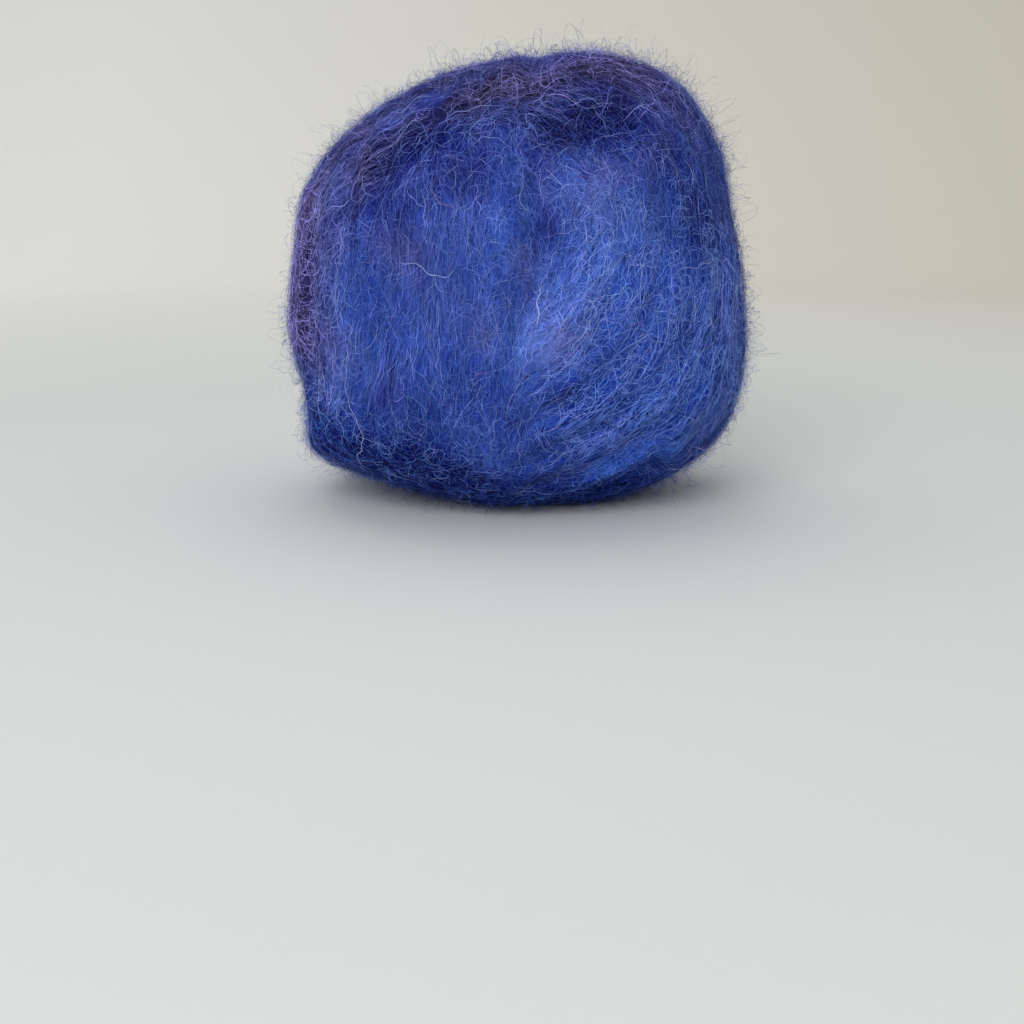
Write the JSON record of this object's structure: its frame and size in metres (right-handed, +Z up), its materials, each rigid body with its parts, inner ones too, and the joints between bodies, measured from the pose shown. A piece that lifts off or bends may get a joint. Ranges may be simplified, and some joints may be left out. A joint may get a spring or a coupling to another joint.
{
  "type": "wound ball of wool roving",
  "caption": "Hand-wound ball of carded wool roving: a squarish round form of wide overlapping turns with soft creases, resting on a small flat spot.",
  "frame": {"origin": "centre of the ball's box in X and Y, on the plane of its flat spot", "axes": "+Z up, -Y towards the front of the ball with its upright wrap, +X to the right as seen from the front"},
  "size_m": [0.1292, 0.1226, 0.125],
  "materials": {
    "wool": "matte, fuzzy carded wool fibre in heathered blue"
  },
  "bodies": {
    "root": {"wound_roving": "wool"}
  },
  "joints": []
}
